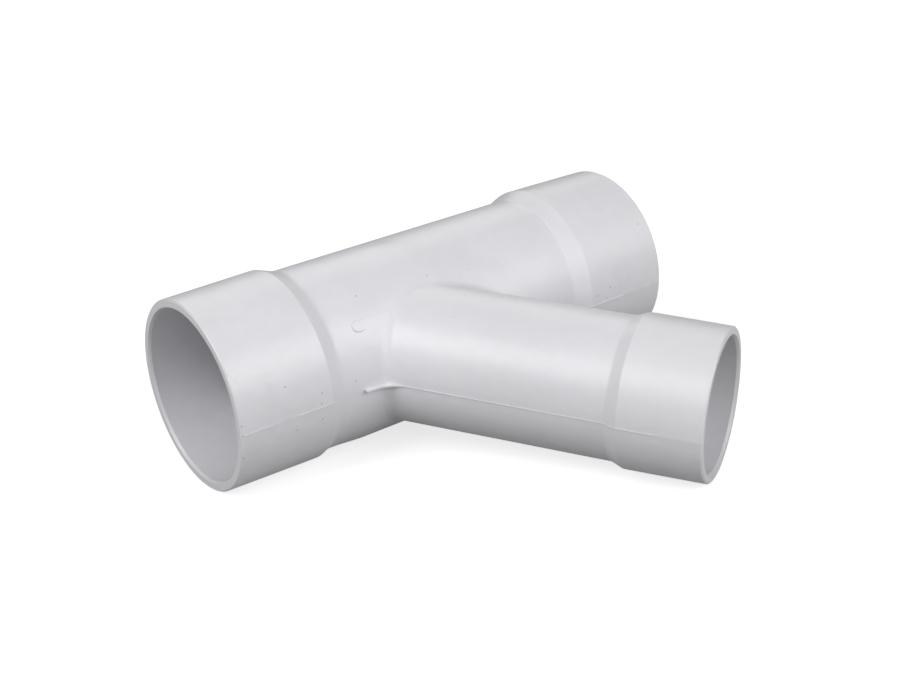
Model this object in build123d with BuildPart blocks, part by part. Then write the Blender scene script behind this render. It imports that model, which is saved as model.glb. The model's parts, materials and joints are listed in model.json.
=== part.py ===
from build123d import *
import os
from math import asin, cos, degrees, radians, sin, sqrt, tan

# Lateral wye: a one-piece moulded fitting that joins a smaller branch tube to a straight run.
# All sizes are in millimetres. The fitting lies as it comes to rest on a flat surface, on its two
# run hubs and the lip of its branch hub, with +Z up and the run along X.

# ---- the tubes that the fitting joins
run_tube_diameter = 50.8
branch_tube_diameter = 38.1
socket_gap = 0.1               # radial room for the cement between a tube and its socket

# ---- where the axes meet, and how far each mouth lies from that point
branch_angle = 60.0            # between the branch axis and the run axis
inlet_reach = 54.0
outlet_reach = 99.0
branch_reach = 111.7

# ---- run: both ends are alike
run_socket_depth = 29.0
run_airway_radius = 23.85
run_wall = 2.8                 # round the airway
run_lip_wall = 2.75            # round the socket, at the mouth
run_hub_length = 29.0
run_hub_draft = 0.4            # how much the hub's radius grows from the mouth to the shoulder
run_shoulder_length = 5.4

# ---- body: between the two hubs the run's outside swells toward the branch, then tapers
body_offset = 1.35             # from the run's axis to the body's own
body_radius = 27.2             # from the inlet hub on
body_taper_start = 10.0        # where it starts to narrow, past the axes' crossing
body_outlet_radius = 24.6      # at the outlet hub's crest, deep inside it

# ---- branch
branch_socket_depth = 23.0
branch_airway_radius = 17.9
branch_wall = 2.7
branch_lip_wall = 2.6
branch_hub_length = 23.5
branch_hub_draft = 0.25
branch_shoulder_length = 3.5

# ---- edges
lip_bevel = 0.4                # outer edge of every mouth
lead_in_width = 0.45           # bevel that guides a tube into its socket
lead_in_depth = 0.8
shoulder_crest_radius = 1.5    # where a hub turns into its shoulder
shoulder_foot_radius = 2.0     # where a shoulder runs out on the pipe
junction_blend = 4.0           # where the branch grows out of the run

# ---- parting line of the two mould halves: a fine ridge in the plane of the axes
flash_height = 0.12
flash_thickness = 0.24
crotch_web_radius = 9.0        # thin web of flash left in the open corner
crotch_web_reach = 29.2        # from the run's axis to the web's edge
crotch_web_start = -14.5       # where it breaks off, along the run

# ---- sizes that follow
run_socket_radius = run_tube_diameter / 2 + socket_gap
branch_socket_radius = branch_tube_diameter / 2 + socket_gap
run_lip_radius = run_socket_radius + run_lip_wall
branch_lip_radius = branch_socket_radius + branch_lip_wall
run_crest_radius = run_lip_radius + run_hub_draft
branch_crest_radius = branch_lip_radius + branch_hub_draft
run_pipe_radius = run_airway_radius + run_wall
branch_pipe_radius = branch_airway_radius + branch_wall
body_start = run_hub_length - inlet_reach
body_end = outlet_reach - run_hub_length

# ---- how it rests: the branch dips until the foot of its lip's bevel is level with the run hubs
lip_distance = branch_reach - lip_bevel
lip_span = lip_distance**2 + branch_lip_radius**2
level_lift = run_crest_radius * lip_distance
level_drop = lip_span * (run_crest_radius**2 - branch_lip_radius**2)
branch_dip = (level_lift - sqrt(level_lift**2 - level_drop)) / lip_span
branch_lean = radians(branch_angle)
roll = degrees(asin(branch_dip / sin(branch_lean)))

axes_plane = Plane.XY.rotated((roll, 0, 0))
branch_way = axes_plane.x_dir * cos(branch_lean) - axes_plane.y_dir * sin(branch_lean)
branch_plane = Plane(origin=axes_plane.origin, x_dir=branch_way, z_dir=axes_plane.z_dir)
body_middle = axes_plane.origin - axes_plane.y_dir * body_offset
body_plane = Plane(origin=body_middle, x_dir=axes_plane.x_dir, z_dir=axes_plane.z_dir)
run_axis = Axis(axes_plane.origin, axes_plane.x_dir)
branch_axis = Axis(branch_plane.origin, branch_way)
body_axis = Axis(body_plane.origin, axes_plane.x_dir)


def hub_outline(mouth, inward, lip, crest, pipe, length, shoulder, proud=0.0):
    """Points of a hub's outer line, from its mouth to the end of its shoulder on the pipe."""
    return [
        (mouth, lip + proud),
        (mouth + inward * length, crest + proud),
        (mouth + inward * (length + shoulder), pipe + proud),
    ]


def run_outline(proud=0.0):
    """The run's outer line, from the inlet mouth to the outlet mouth."""
    sizes = (run_lip_radius, run_crest_radius, run_pipe_radius, run_hub_length, run_shoulder_length)
    inlet = hub_outline(-inlet_reach, 1, *sizes, proud)
    outlet = hub_outline(outlet_reach, -1, *sizes, proud)
    return inlet + outlet[::-1]


def branch_outline(proud=0.0):
    """The branch's outer line, from the crossing of the axes to its mouth."""
    sizes = (branch_lip_radius, branch_crest_radius, branch_pipe_radius)
    hub = hub_outline(branch_reach, -1, *sizes, branch_hub_length, branch_shoulder_length, proud)
    return [(0, branch_pipe_radius + proud)] + hub[::-1]


def closed_on_axis(outline):
    """An outer line closed along the axis, ready to be revolved."""
    return [(outline[0][0], 0)] + outline + [(outline[-1][0], 0)]


def both_sides(outline):
    """An outer line and its mirror image below the axis, closed at both ends."""
    return outline + [(x, -y) for x, y in reversed(outline)]


def nearest_corner(sketch, x, y):
    """The corner of a sketch that lies closest to a point of its plane."""
    return sketch.vertices().sort_by_distance(Vector(x, y, 0))[0]


def finish_corners(sketch, outline, lips):
    """Round the crests and feet of a half outline, and bevel the lips at its open ends."""
    for before, corner, after in zip(outline, outline[1:], outline[2:]):
        is_crest = corner[1] > max(before[1], after[1])
        radius = shoulder_crest_radius if is_crest else shoulder_foot_radius
        fillet(nearest_corner(sketch, *corner), radius)
    for lip in lips:
        chamfer(nearest_corner(sketch, *lip), lip_bevel)


def bore_outline(mouth, inward, socket, airway, depth):
    """Points of a bore's wall from its mouth to the stop that the tube end meets."""
    return [
        (mouth, socket + lead_in_width),
        (mouth + inward * lead_in_depth, socket),
        (mouth + inward * depth, socket),
        (mouth + inward * depth, airway),
    ]


def open_corner(reach):
    """Where the branch's outer line on its open side is that far from the run's axis."""
    return reach / tan(branch_lean) - branch_pipe_radius / sin(branch_lean), -reach


with BuildPart() as wye:
    # the run, turned about its axis
    run_line = run_outline()
    with BuildSketch(axes_plane) as run_profile:
        Polygon(*closed_on_axis(run_line), align=None)
        finish_corners(run_profile, run_line, lips=(run_line[0], run_line[-1]))
    revolve(axis=run_axis)

    # the swelling between the crests of the two hubs, turned about its own axis
    body_line = [(body_start, body_radius), (body_taper_start, body_radius), (body_end, body_outlet_radius)]
    with BuildSketch(body_plane):
        Polygon(*closed_on_axis(body_line), align=None)
    revolve(axis=body_axis)

    # the branch, turned about its own axis
    branch_line = branch_outline()
    with BuildSketch(branch_plane) as branch_profile:
        Polygon(*closed_on_axis(branch_line), align=None)
        finish_corners(branch_profile, branch_line, lips=(branch_line[-1],))
    revolve(axis=branch_axis)

    # the blend where the branch meets the body
    fillet(wye.edges(Select.NEW), junction_blend)

    # the parting line, a thin plate in the plane of the axes that stands just proud
    with BuildSketch(axes_plane) as parting_plate:
        Polygon(*both_sides(run_outline(flash_height)), align=None)
        with Locations((crotch_web_start, -crotch_web_reach)):
            Rectangle(-crotch_web_start, crotch_web_reach, align=Align.MIN)
        with Locations(Location((0, 0, 0), (0, 0, -branch_angle))):
            Polygon(*both_sides(branch_outline(flash_height)), align=None)
        along_branch = Axis((0, 0, 0), (cos(branch_lean), -sin(branch_lean), 0))
        lips = parting_plate.vertices().group_by(Axis.X)[0]
        lips += parting_plate.vertices().group_by(Axis.X)[-1]
        lips += parting_plate.vertices().sort_by(along_branch)[-2:]
        chamfer(lips, lip_bevel)
        fillet(nearest_corner(parting_plate, *open_corner(crotch_web_reach)), crotch_web_radius)
    extrude(amount=flash_thickness / 2, both=True)

    # sockets at both ends of the run, with the airway between their stops
    run_bore = (run_socket_radius, run_airway_radius, run_socket_depth)
    inlet_wall = bore_outline(-inlet_reach, 1, *run_bore)
    outlet_wall = bore_outline(outlet_reach, -1, *run_bore)
    with BuildSketch(axes_plane):
        Polygon(*closed_on_axis(inlet_wall + outlet_wall[::-1]), align=None)
    revolve(axis=run_axis, mode=Mode.SUBTRACT)

    # the branch's socket, and its airway into the run's
    branch_bore = (branch_socket_radius, branch_airway_radius, branch_socket_depth)
    branch_wall_line = bore_outline(branch_reach, -1, *branch_bore)
    with BuildSketch(branch_plane):
        Polygon(*closed_on_axis([(0, branch_airway_radius)] + branch_wall_line[::-1]), align=None)
    revolve(axis=branch_axis, mode=Mode.SUBTRACT)

# ---- the frame: origin on the floor, under the middle of the fitting's box
box = wye.part.bounding_box()
to_floor = Location((-box.center().X, -box.center().Y, -box.min.Z))
with BuildPart() as wye_body:
    with Locations(to_floor):
        add(wye.part)

os.makedirs("parts", exist_ok=True)
wye_body.part.label = "wye_body"
export_step(wye_body.part, "parts/wye_body.step")
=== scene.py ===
# %% [markdown]
# # A moulded plastic wye, dressed for its portrait
#
# A lateral wye joins a small branch tube to a straight run. It is one hollow moulding, already
# modelled at its real size, so this script loads that model as a fixed frame and gives it what a
# solid model lacks: the finish of the plastic, the traces of the mould, light, floor and camera.

import json
from math import atan2, cos, degrees, radians, sin

import bpy
from mathutils import Matrix, Vector


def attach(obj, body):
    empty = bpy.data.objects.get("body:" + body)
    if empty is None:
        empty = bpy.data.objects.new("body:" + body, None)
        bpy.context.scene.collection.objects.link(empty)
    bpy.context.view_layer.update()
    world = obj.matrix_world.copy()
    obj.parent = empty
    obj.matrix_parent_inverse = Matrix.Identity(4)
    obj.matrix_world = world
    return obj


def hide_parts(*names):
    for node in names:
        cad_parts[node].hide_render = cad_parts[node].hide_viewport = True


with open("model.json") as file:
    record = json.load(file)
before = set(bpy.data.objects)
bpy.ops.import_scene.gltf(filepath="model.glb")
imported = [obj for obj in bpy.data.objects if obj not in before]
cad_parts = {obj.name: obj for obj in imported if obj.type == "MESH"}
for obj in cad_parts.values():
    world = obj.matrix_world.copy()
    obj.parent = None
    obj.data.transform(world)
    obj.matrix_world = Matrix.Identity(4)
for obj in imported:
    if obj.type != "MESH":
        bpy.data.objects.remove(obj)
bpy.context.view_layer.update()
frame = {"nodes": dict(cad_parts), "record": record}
body = frame["nodes"]["wye_body"]

# %% [markdown]
# ## Where the axes run
#
# Nearly all that is on this fitting is placed along one of its two axes and some way round it.
# The sockets' records say where the axes lie, so nothing here has to be measured again: the run
# goes through the two run sockets, and the branch starts where its axis meets the run's.

# %% The two axes
mounts = {mount["name"]: mount for mount in frame["record"]["mounts"]}
inlet = Vector(mounts["run_inlet"]["pos_m"])
outlet = Vector(mounts["run_outlet"]["pos_m"])
branch_socket = Vector(mounts["branch_socket"]["pos_m"])

run_way = (outlet - inlet).normalized()
branch_way = Vector(mounts["branch_socket"]["axis"]).normalized()
branch_slant = branch_way.dot(run_way)
to_branch = branch_socket - inlet
run_part, branch_part = to_branch.dot(run_way), to_branch.dot(branch_way)
along_run = (run_part - branch_slant * branch_part) / (1 - branch_slant**2)
crossing = inlet + along_run * run_way

front_way = (branch_way - branch_slant * run_way).normalized()
open_way = (branch_slant * branch_way - run_way).normalized()
rise_way = front_way.cross(run_way)
print("axes cross at", [round(1000 * value, 2) for value in crossing])

# %% [markdown]
# ## The hollow behind the inlet hub
#
# Behind the inlet hub the skin first dips to the bare pipe and then swells toward the branch. The
# solid model has the swelling as one straight body, so here a copy of its mesh takes its place and
# is shaped further. Adding material over the solid can't make a hollow, and a dent painted as bump
# would leave the outline straight, so the skin is cut into rings and the rings are drawn inward.
# The copy comes with doubled points along its edges. They are merged first, or it would fall apart.

# %% Where to cut
# stations in mm along an axis, past the point where the two axes cross
hub_crest = -25.0
shoulder_foot = -19.6
swelling_top = -8.5
ring_step = 0.9
flash_ends_on_run = (-45.0, -44.0, -37.0, -36.0, 82.0, 83.5)
flash_ends_on_branch = (98.0, 100.0)


def cut(way, station):
    """Cut the mesh that is being edited straight across one of the axes."""
    bpy.ops.mesh.select_all(action="SELECT")
    bpy.ops.mesh.bisect(plane_co=crossing + 0.001 * station * way, plane_no=way)


# %% A copy of the skin
doubled_within = 0.000002

shell = bpy.data.objects.new("wye_shell", body.data.copy())
bpy.context.collection.objects.link(shell)
bpy.ops.object.select_all(action="DESELECT")
bpy.context.view_layer.objects.active = shell
shell.select_set(True)
bpy.ops.object.mode_set(mode="EDIT")
bpy.ops.mesh.select_all(action="SELECT")
bpy.ops.mesh.remove_doubles(threshold=doubled_within)
station = hub_crest
while station < swelling_top:
    cut(run_way, station)
    station += ring_step
for way, stations in ((run_way, flash_ends_on_run), (branch_way, flash_ends_on_branch)):
    for station in stations:
        cut(way, station)
bpy.ops.object.mode_set(mode="OBJECT")
print("shell:", len(shell.data.vertices), "points")

# %% [markdown]
# Every point between the hub's crest and the top of the swelling gets a new distance from the
# run's axis. Down the shoulder it follows a straight slope. Past its foot only a share of the
# swelling is left, less above the branch than below it, and the share eases back to the whole.

# %% How far out the skin stays
crest_radius = 28.63
pipe_radius = 26.65
swelling_above = 0.2
swelling_below = 0.6
turns_below = (-25, 30)        # the one changes to the other: degrees down from the branch's side


def ease(value, start, end):
    """0 before the start, 1 after the end, and a smooth rise between."""
    part = min(max((value - start) / (end - start), 0), 1)
    return part * part * (3 - 2 * part)


def wanted_radius(along, around, radius):
    """How far from the run's axis a point of the skin goes: mm, degrees and mm."""
    down_shoulder = (along - hub_crest) / (shoulder_foot - hub_crest)
    shoulder = crest_radius + (pipe_radius - crest_radius) * min(down_shoulder, 1)
    at_foot = swelling_above + (swelling_below - swelling_above) * ease(-around, *turns_below)
    share = at_foot + (1 - at_foot) * ease(along, shoulder_foot, swelling_top)
    return max(shoulder, pipe_radius + (radius - pipe_radius) * share)


# %% Draw the rings inward
drawn = 0
for vertex in shell.data.vertices:
    offset = vertex.co - crossing
    along = 1000 * offset.dot(run_way)
    outward = offset - offset.dot(run_way) * run_way
    radius = 1000 * outward.length
    if hub_crest < along < swelling_top and pipe_radius < radius < crest_radius:
        around = degrees(atan2(outward.dot(rise_way), outward.dot(front_way)))
        target = min(radius, wanted_radius(along, around, radius))
        vertex.co -= outward * (1 - target / radius)
        drawn += 1
print("drew", drawn, "points inward")

# %% [markdown]
# ### The flash
#
# The line of flash isn't even all the way. The mould closed well in places, and there the ridge
# fades out; in the open corner it squeezed out a thicker web. The ridge's points lie within a few
# tenths of a millimetre of the parting plane, so they can be picked out by that. Where the ridge
# ends they sink to the skin and are merged with it, so that the light runs over without a break.

# %% Sizes of the flash
flash_thickness = 0.24
half_and_a_bit = 0.6
run_lip, run_draft = 28.25, 0.4 / 29
branch_lip, branch_draft = 21.75, 0.25 / 23.5
inlet_mouth, outlet_mouth, branch_mouth = -54.0, 99.0, 111.7

inlet_gap_start, inlet_gap_end = -44.5, -36.5
outlet_gap_start = 83
branch_gap_start = 99

web_start, web_end = -15, 0
web_least_reach = 0.0288       # metres from the run's axis
branch_skin_in_corner = 20.65
bead_thickness = 0.5
bead_height = 0.25
bead_fades = (-9, -1)


def on_flash(offset):
    """Whether a point, given from the crossing of the axes in metres, lies on the flash."""
    return 1000 * abs(offset.dot(rise_way)) < half_and_a_bit * flash_thickness


def hub_skin(lip, draft, from_mouth):
    """The radius of a hub's skin in mm, so far from its mouth."""
    return lip + draft * from_mouth


# %% Wear the flash
sunk_within = 0.00002

worn = 0
for vertex in shell.data.vertices:
    offset = vertex.co - crossing
    if not on_flash(offset):
        continue
    along, past = 1000 * offset.dot(run_way), 1000 * offset.dot(branch_way)
    from_run = offset - offset.dot(run_way) * run_way
    from_branch = offset - offset.dot(branch_way) * branch_way
    radius, side = 1000 * from_run.length, 1000 * from_branch.length
    run_skin = hub_skin(run_lip, run_draft, min(along - inlet_mouth, outlet_mouth - along))
    branch_skin = hub_skin(branch_lip, branch_draft, branch_mouth - past)

    in_run_gap = inlet_gap_start < along < inlet_gap_end or along > outlet_gap_start
    in_web = web_start < along < web_end and offset.dot(front_way) > web_least_reach
    if in_run_gap and radius > run_skin:
        vertex.co -= from_run * (1 - run_skin / radius)
        worn += 1
    elif past > branch_gap_start and side > branch_skin:
        vertex.co -= from_branch * (1 - branch_skin / side)
        worn += 1
    elif in_web and side > branch_skin_in_corner:
        share = 1 - ease(along, *bead_fades)
        spread = (bead_thickness / flash_thickness - 1) * share
        vertex.co += 0.001 * bead_height * share * front_way
        vertex.co += spread * offset.dot(rise_way) * rise_way
        worn += 1
bpy.ops.object.mode_set(mode="EDIT")
bpy.ops.mesh.select_all(action="SELECT")
bpy.ops.mesh.remove_doubles(threshold=sunk_within)
bpy.ops.mesh.normals_make_consistent(inside=False)
bpy.ops.object.mode_set(mode="OBJECT")
print("moved", worn, "points of flash")

# %% [markdown]
# ### Smooth light on the skin
#
# The copy still shades by the solid's normals, which no longer fit. They are cleared and made
# anew: smooth everywhere but at real edges, and weighted by area, so that a big face next to a
# sliver stays calm.

# %% Finish the shell
sharpest_smooth = radians(24)

bpy.ops.mesh.customdata_custom_splitnormals_clear()
bpy.ops.object.shade_smooth_by_angle(angle=sharpest_smooth)
weigh = shell.modifiers.new("weigh", "WEIGHTED_NORMAL")
weigh.keep_sharp = True
bpy.ops.object.modifier_apply(modifier=weigh.name)
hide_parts("wye_body")
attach(shell, "root")
print("shell:", len(shell.data.polygons), "faces")

# %% [markdown]
# ### Points on the skin
#
# Marks are placed by how far along a tube they lie and how many degrees round it. The nearest
# point of the skin is looked up from just outside the hubs. From further off, the nearest thing
# could be the web in the corner instead.

# %% Points on the skin
just_outside = 30              # mm from either axis


def out_of_run(around):
    """The way straight out of the run, so many degrees up from the branch's side."""
    return cos(radians(around)) * front_way + sin(radians(around)) * rise_way


def on_skin(way, along, outward):
    """The point of the skin nearest to a place along one axis and just outside its tube."""
    looked_from = crossing + 0.001 * (along * way + just_outside * outward)
    return shell.closest_point_on_mesh(looked_from)[1]


def on_run(along, around):
    """A point of the run's skin: mm past the crossing, and degrees up from the branch's side."""
    return on_skin(run_way, along, out_of_run(around))


def on_branch(along, around):
    """A point of the branch's skin: mm past the crossing, and degrees up from its open side."""
    outward = cos(radians(around)) * open_way + sin(radians(around)) * rise_way
    return on_skin(branch_way, along, outward)


print("inlet rim's top at", [round(1000 * value, 1) for value in on_run(-54, 90)])

# %% [markdown]
# ## Camera
#
# The camera stands in front of the inlet, a little above the fitting, and looks down on it. It is
# tilted a few degrees about its own line of sight, as a hand-held camera is, so its turn is given
# by three directions instead of a point to look at.

# %% Camera
sensor_width = 36
focal_length = 58.1
nearest_seen = 0.01
camera_place = Vector((-0.22662, -0.30311, 0.20104))
forward = Vector((0.525, 0.7508, -0.4008)).normalized()
right = Vector((0.8, -0.596, -0.0687))
right = (right - right.dot(forward) * forward).normalized()
up = right.cross(forward)

camera_data = bpy.data.cameras.new("portrait_camera")
camera_data.sensor_width = sensor_width
camera_data.lens = focal_length
camera_data.clip_start = nearest_seen
camera = bpy.data.objects.new("portrait_camera", camera_data)
bpy.context.collection.objects.link(camera)
turn = Matrix((right, up, -forward)).transposed().to_4x4()
camera.matrix_world = Matrix.Translation(camera_place) @ turn
bpy.context.scene.camera = camera
print("camera stands", round(camera_place.length, 3), "m from the origin")

# %% [markdown]
# ## Shader sums in plain Python
#
# A material in Blender is a graph of nodes. Wired by hand, a sum of three masks takes a dozen
# lines. A small class that wraps an output socket lets Python's own operators add the Math nodes,
# so a pattern reads like the formula that it is. Every other node comes from `node`.

# %% A socket that does sums
class Wire:
    """An output socket that takes part in sums: each operator adds one Math node."""

    def __init__(self, socket):
        self.socket = socket

    def node(self, kind, settings=None, output=0, **sockets):
        """A new node of that kind, with its settings made first and its sockets filled after."""
        made = self.socket.id_data.nodes.new(kind)
        for name, value in (settings or {}).items():
            setattr(made, name, value)
        for name, value in sockets.items():
            key = int(name[1:]) if name[1:].isdigit() else name.replace("_", " ")
            self.plug(made.inputs[key], value)
        return Wire(made.outputs[output]) if made.outputs else made

    def plug(self, target, value):
        """Link a wire to a socket, or set the socket to a plain value."""
        if isinstance(value, Wire):
            self.socket.id_data.links.new(value.socket, target)
        else:
            target.default_value = value

    def sum(self, operation, first, second):
        """A new Math node that takes the two."""
        return self.node("ShaderNodeMath", {"operation": operation}, _0=first, _1=second)

    def __add__(self, other):
        return self.sum("ADD", self, other)

    def __mul__(self, other):
        return self.sum("MULTIPLY", self, other)

    def __sub__(self, other):
        return self.sum("SUBTRACT", self, other)

    __radd__ = __add__
    __rmul__ = __mul__


# %% [markdown]
# ## The plastic
#
# The fitting is one grey thermoplastic with a satin skin. It could be a flat colour with one
# roughness, but a real moulding never is: the pigment is stirred in unevenly, the mould's polish
# varies, and the skin waves where thick walls shrank. Noise at several sizes gives all three, and
# it reads Object coordinates, so that it sits still on the part from every side.

# %% Start the plastic
plastic = bpy.data.materials.new("moulded_plastic")
plastic.use_nodes = True
plastic.node_tree.nodes.clear()
place = Wire(plastic.node_tree.nodes.new("ShaderNodeTexCoord").outputs["Object"])


def clouds(size, detail=2.0, spot=place):
    """Soft noise round 0.5, with lumps of about that size in metres."""
    return place.node("ShaderNodeTexNoise", Vector=spot, Scale=1 / size, Detail=detail)


def ramp(value, low, high):
    """0 at low and beyond, 1 at high and beyond, and a straight slope between the two."""
    return place.node("ShaderNodeMapRange", _0=value, _1=low, _2=high)


def tint(amount, ground, colour):
    """The ground colour, turned into another by an amount from 0 to 1."""
    return place.node("ShaderNodeMix", {"data_type": "RGBA"}, 2, _0=amount, _6=ground, _7=colour)


def tally(step):
    """Say how far the graph has grown by the end of a step."""
    print(step + ":", len(plastic.node_tree.nodes), "nodes")


# %% [markdown]
# ### Colour of the mix
#
# The grey leans to lavender. Broad clouds a few centimetres across make it warmer here and cooler
# there, and clouds of a few millimetres are the streaks of pigment that the screw left.

# %% Colour of the mix
pale_grey = (0.74, 0.738, 0.772, 1)
deep_grey = (0.695, 0.695, 0.722, 1)
warm_grey = (0.735, 0.722, 0.735, 1)

broad_share, pigment_share = 0.6, 0.4
most_warmth = 0.5

broad_clouds = ramp(clouds(0.028, 3.0), 0.35, 0.65)
pigment_clouds = ramp(clouds(0.0035, 4.0), 0.3, 0.7)
pigment = broad_clouds * broad_share + pigment_clouds * pigment_share
mix_colour = tint(pigment, deep_grey, pale_grey)
mix_colour = tint(ramp(clouds(0.045), 0.5, 0.75) * most_warmth, mix_colour, warm_grey)
tally("colour of the mix")

# %% [markdown]
# ### Specks
#
# Burnt crumbs of plastic and dust lie in the skin as dark dots a few tenths of a millimetre wide.
# A Voronoi texture gives one point per cell, and its random colour picks the few cells that get a
# dot. A wide grid and a fine one are added up, so that the dots aren't all one size.

# %% Scattered specks
def scattered(cell, radius, share):
    """Dots of a radius, one in each of a share of the cells, with cell and radius in metres."""
    settings = {"feature": "F1"}
    reach = place.node("ShaderNodeTexVoronoi", settings, 0, Vector=place, Scale=1 / cell)
    dice = place.node("ShaderNodeTexVoronoi", settings, 1, Vector=place, Scale=1 / cell)
    chosen = place.node("ShaderNodeSeparateColor", Color=dice)
    inside = ramp(reach, radius / cell, 0.6 * radius / cell)
    return inside * ramp(chosen, 1 - share, 1.001 - share)


big_specks = scattered(cell=0.009, radius=0.00035, share=0.16)
small_specks = scattered(cell=0.004, radius=0.00018, share=0.12)
specks = big_specks + small_specks
tally("scattered specks")

# %% [markdown]
# The dots that catch the eye are set one by one, each by its place along and around a tube. Every
# one is a ball round a point of the skin, so what shows is the disc that the ball cuts out of it.

# %% Specks set one by one
def dot(point, radius):
    """A round mask: 1 within 0.6 of a radius in mm, then falling to 0 just past the radius."""
    apart = place.node("ShaderNodeVectorMath", {"operation": "DISTANCE"}, 1, _0=place, _1=point)
    return ramp(apart, 0.00115 * radius, 0.0006 * radius)


inlet_specks = [(-39, 19), (-28.5, 8.5), (-29, 2.5), (-29, -7.5), (-37, -9)]
rim_specks = [(-54, 6), (-54, 1), (-54, -15)]
body_specks = [(-8, 55), (-17.2, 7.2)]
outlet_specks = [(72, 6), (77.5, 8.5), (95, 41)]
branch_specks = [(27, -24), (27, 97)]
run_specks = inlet_specks + rim_specks + body_specks + outlet_specks
run_speck_radius, branch_speck_radius = 0.26, 0.23
speck_colour = (0.2, 0.18, 0.17, 1)
speck_strength = 0.65

for along, around in run_specks:
    specks = specks + dot(on_run(along, around), run_speck_radius)
for along, around in branch_specks:
    specks = specks + dot(on_branch(along, around), branch_speck_radius)
speck_mask = ramp(specks, 0, 1)
speckled = tint(speck_mask * speck_strength, mix_colour, speck_colour)
print("set", len(run_specks + branch_specks), "specks by hand")

# %% [markdown]
# ### Smudges and scuffs
#
# Handling leaves grey smudges on the hubs, and a knock on the inlet's rim has turned a patch of
# the skin pale and rough. Each is a soft round mask, broken up by noise so that it has no outline.

# %% Smudges and scuffs
smudge_colour = (0.4, 0.38, 0.37, 1)
smudge_strength = 0.12
scuff_colour = (0.85, 0.85, 0.87, 1)
scuff_strength = 0.5

grit = ramp(clouds(0.0012, 5.0), 0.42, 0.62)
smears = ramp(clouds(0.003, 3.0), 0.3, 0.7)
smudges = dot(on_run(83, 15), 5) + dot(on_run(73, 87), 4)
scuffs = dot(on_run(-52.5, 31), 3.2) + dot(on_run(-37, 89), 1.1) + dot(on_run(94, 0), 1.2)
smudged = tint(smudges * smears * smudge_strength, speckled, smudge_colour)
skin_colour = tint(ramp(scuffs * grit, 0, 1) * scuff_strength, smudged, scuff_colour)
tally("smudges and scuffs")

# %% [markdown]
# ### Scratches
#
# Fine scratches run every way. Noise that is stretched into long threads, and cut to a narrow
# range of its values, leaves thin curved lines; a broad noise lets them show in places only.

# %% Scratches
thread_width = 0.0022
scratch_colour = (0.86, 0.86, 0.88, 1)
scratch_strength = 0.12


def threads(turn, flatness=0.06):
    """Thin lines along one direction, turned by Euler angles in degrees."""
    turned = place.node(
        "ShaderNodeMapping",
        {"vector_type": "TEXTURE"},
        Vector=place,
        Rotation=[radians(angle) for angle in turn],
        Scale=(1 / flatness, 1, 1),
    )
    wave = clouds(thread_width, 2.0, turned)
    return ramp(wave, 0.494, 0.4995) * ramp(wave, 0.5055, 0.5)


in_places = ramp(clouds(0.012, 2.0), 0.52, 0.66)
scratches = (threads((20, 35, 10)) + threads((-40, 10, 75))) * in_places
skin_colour = tint(scratches * scratch_strength, skin_colour, scratch_colour)
tally("scratches")

# %% [markdown]
# ### Sheen and relief
#
# The mould's polish varies from place to place, and where the skin is scuffed or scratched it is
# rougher. The relief is written in metres, so it can be judged against the part: waves of some
# hundredths of a millimetre, a far finer grain, and specks and scratches a little sunk.

# %% Sheen
least_roughness = 0.29
broad_roughness, fine_roughness = 0.08, 0.1
scratch_roughness, scuff_roughness = 0.2, 0.25

broad_sheen = broad_roughness * clouds(0.02, 3.0)
fine_sheen = fine_roughness * clouds(0.002, 3.0)
sheen = least_roughness + broad_sheen + fine_sheen + scratch_roughness * scratches
roughness = ramp(sheen + scuff_roughness * scuffs * grit, 0, 1)
tally("sheen")

# %% Relief
long_wave_height, short_wave_height = 0.00006, 0.000014
grain_height = 0.0000022
scratch_depth, speck_depth = 0.000004, 0.00002

waves = clouds(0.011, 2.0) * long_wave_height + clouds(0.0028, 2.0) * short_wave_height
grain = clouds(0.0007, 3.0) * grain_height
relief = waves + grain - scratches * scratch_depth - speck_mask * speck_depth
bumped = place.node("ShaderNodeBump", Height=relief, Distance=1.0, Strength=1.0)
tally("relief")

# %% Put the plastic on
skin = place.node(
    "ShaderNodeBsdfPrincipled",
    Base_Color=skin_colour,
    Roughness=roughness,
    Normal=bumped,
    IOR=1.5,
)
place.node("ShaderNodeOutputMaterial", Surface=skin)
for skinned in (body, shell):
    skinned.data.materials.clear()
    skinned.data.materials.append(plastic)
tally("finished plastic")

# %% [markdown]
# ## The pad beside the branch
#
# Close to where the branch grows out of the run, an insert in the mould has left a low plain pad
# along the run: round at its free end, a quarter of a millimetre proud, and lost in the blend at
# the other. It could be painted as bump, but its edge catches real light, so it is modelled: a
# disc is stretched to a long round-ended plate, given thickness, and its rim is bevelled.

# %% The pad's place
pad_along, pad_around = -12.3, 37.5
pad_half_width = 0.0017
pad_length = 0.013
pad_proud = 0.00026
pad_depth = 0.0006
pad_bevel = 0.0002
pad_smooth = radians(50)

pad_end = on_run(pad_along, pad_around)
pad_out = out_of_run(pad_around).normalized()
pad_turn = Matrix((run_way, pad_out.cross(run_way), pad_out)).transposed().to_4x4()

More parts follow.
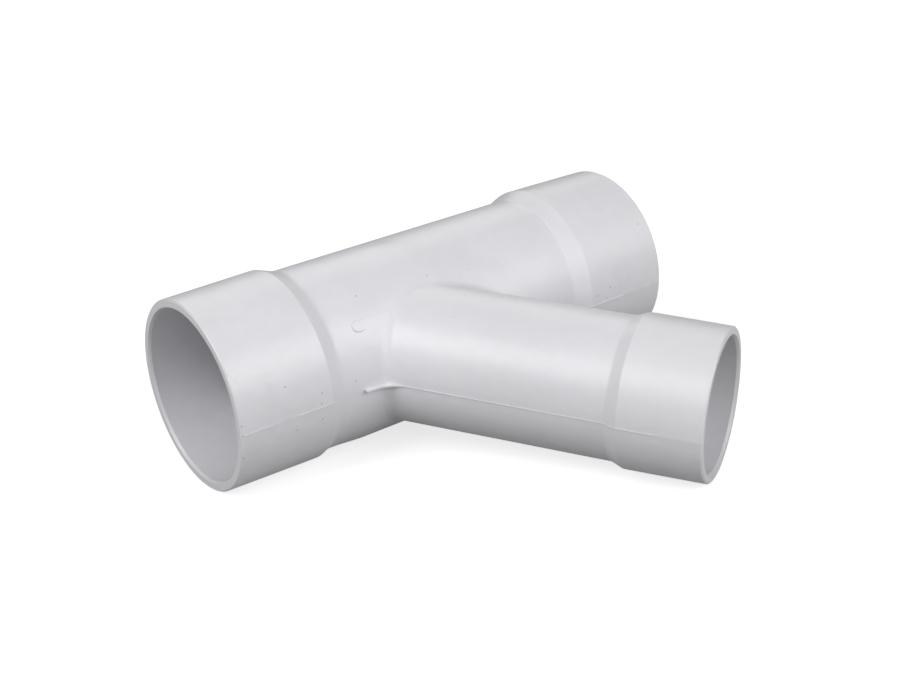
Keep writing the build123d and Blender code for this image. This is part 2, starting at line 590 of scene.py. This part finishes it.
# %% The pad
bpy.ops.object.select_all(action="DESELECT")
bpy.ops.mesh.primitive_circle_add(vertices=48, radius=pad_half_width, fill_type="NGON")
pad = bpy.context.object
pad.name = "run_pad"
bpy.ops.object.mode_set(mode="EDIT")
bpy.ops.mesh.select_all(action="DESELECT")
bpy.ops.object.mode_set(mode="OBJECT")
for vertex in pad.data.vertices:
    vertex.select = vertex.co.x > 0
bpy.ops.object.mode_set(mode="EDIT")
bpy.ops.transform.translate(value=(pad_length, 0, 0))
bpy.ops.mesh.select_all(action="SELECT")
bpy.ops.transform.translate(value=(0, 0, -pad_depth))
pad_rise = {"value": (0, 0, pad_depth + pad_proud)}
bpy.ops.mesh.extrude_region_move(TRANSFORM_OT_translate=pad_rise)
bpy.ops.mesh.bevel(offset=pad_bevel, segments=3)
bpy.ops.mesh.select_all(action="SELECT")
bpy.ops.mesh.normals_make_consistent(inside=False)
bpy.ops.object.mode_set(mode="OBJECT")

pad.matrix_world = Matrix.Translation(pad_end) @ pad_turn
bpy.ops.object.transform_apply(location=True, rotation=True, scale=True)
bpy.ops.object.shade_smooth_by_angle(angle=pad_smooth)
pad.data.materials.append(plastic)
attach(pad, "root")
print("pad:", len(pad.data.vertices), "points")
print("pad set at", [round(1000 * value, 1) for value in pad_end])

# %% [markdown]
# ## Floor
#
# The fitting lies on a plain pale floor that keeps its shadow. Under studio lamps white paper
# fills the picture, so for the camera the floor also glows, and a quarter of that glow is there
# for what shines in the plastic. For the soft light that it throws back up onto the fitting it
# stays a calm grey, because a glowing floor would wipe out the shade on the tubes' undersides.

# %% Floor
floor_side = 12
shine_share = 0.25
glow = 0.75

bpy.ops.object.select_all(action="DESELECT")
bpy.ops.mesh.primitive_plane_add(size=floor_side, location=(0, 0, 0))
floor = bpy.context.object
floor.name = "studio_floor"
print("floor:", floor_side, "m wide")

# %% Paper
floor_paper = bpy.data.materials.new("studio_paper")
floor_paper.use_nodes = True
floor_paper.node_tree.nodes.clear()
light_path = floor_paper.node_tree.nodes.new("ShaderNodeLightPath")
seen = Wire(light_path.outputs["Is Camera Ray"])
shone = Wire(light_path.outputs["Is Glossy Ray"]) + Wire(light_path.outputs["Is Transmission Ray"])
bright_paper = seen.node(
    "ShaderNodeBsdfPrincipled",
    Base_Color=(0.5, 0.5, 0.5, 1),
    Roughness=1.0,
    Specular_IOR_Level=0.0,
    Emission_Color=(1, 1, 1, 1),
    Emission_Strength=glow,
)
plain_paper = seen.node(
    "ShaderNodeBsdfPrincipled",
    Base_Color=(0.3, 0.3, 0.3, 1),
    Roughness=1.0,
    Specular_IOR_Level=0.0,
)
glowing = seen + shine_share * shone
paper = seen.node("ShaderNodeMixShader", _0=glowing, _1=plain_paper, _2=bright_paper)
seen.node("ShaderNodeOutputMaterial", Surface=paper)
floor.data.materials.append(floor_paper)
print("paper:", len(floor_paper.node_tree.nodes), "nodes")

# %% [markdown]
# ## Light
#
# Broad softboxes stand all round, a metre and a half away: the strongest to the left, the next in
# front to the right, and two weak ones. The top of each tube is then evenly bright and its
# underside falls off into shade. A dim world fills what no lamp reaches. The camera sees that
# world as white, like the floor.

# %% World
dim_strength = 0.04

world = bpy.data.worlds.new("studio")
bpy.context.scene.world = world
world.use_nodes = True
world.node_tree.nodes.clear()
world_path = world.node_tree.nodes.new("ShaderNodeLightPath")
world_seen = Wire(world_path.outputs["Is Camera Ray"])
dim = world_seen.node("ShaderNodeBackground", Color=(1, 1, 1, 1), Strength=dim_strength)
white = world_seen.node("ShaderNodeBackground", Color=(1, 1, 1, 1), Strength=1.0)
sky = world_seen.node("ShaderNodeMixShader", _0=world_seen, _1=dim, _2=white)
world_seen.node("ShaderNodeOutputWorld", Surface=sky)
print("world:", dim_strength, "for the fitting and 1 for the camera")


# %% Softboxes
middle_height = 0.03


def softbox(name, compass, height, power, size=0.9, distance=1.5):
    """A square lamp that faces the fitting: degrees round from the front by the right, and up."""
    lamp = bpy.data.lights.new(name, "AREA")
    lamp.size = size
    lamp.energy = power
    made = bpy.data.objects.new(name, lamp)
    bpy.context.collection.objects.link(made)
    round_turn, tilt = radians(compass), radians(height)
    way = Vector((sin(round_turn) * cos(tilt), -cos(round_turn) * cos(tilt), sin(tilt)))
    made.location = distance * way + Vector((0, 0, middle_height))
    made.rotation_euler = way.to_track_quat("Z", "Y").to_euler()
    print(name, [round(value, 2) for value in made.location])


softbox("left_softbox", compass=273, height=43, power=15)
softbox("right_softbox", compass=27, height=30, power=11.6)
softbox("front_softbox", compass=345, height=28, power=5.3)
softbox("rear_softbox", compass=150, height=35, power=4.4)

bpy.context.scene.view_settings.view_transform = "Standard"
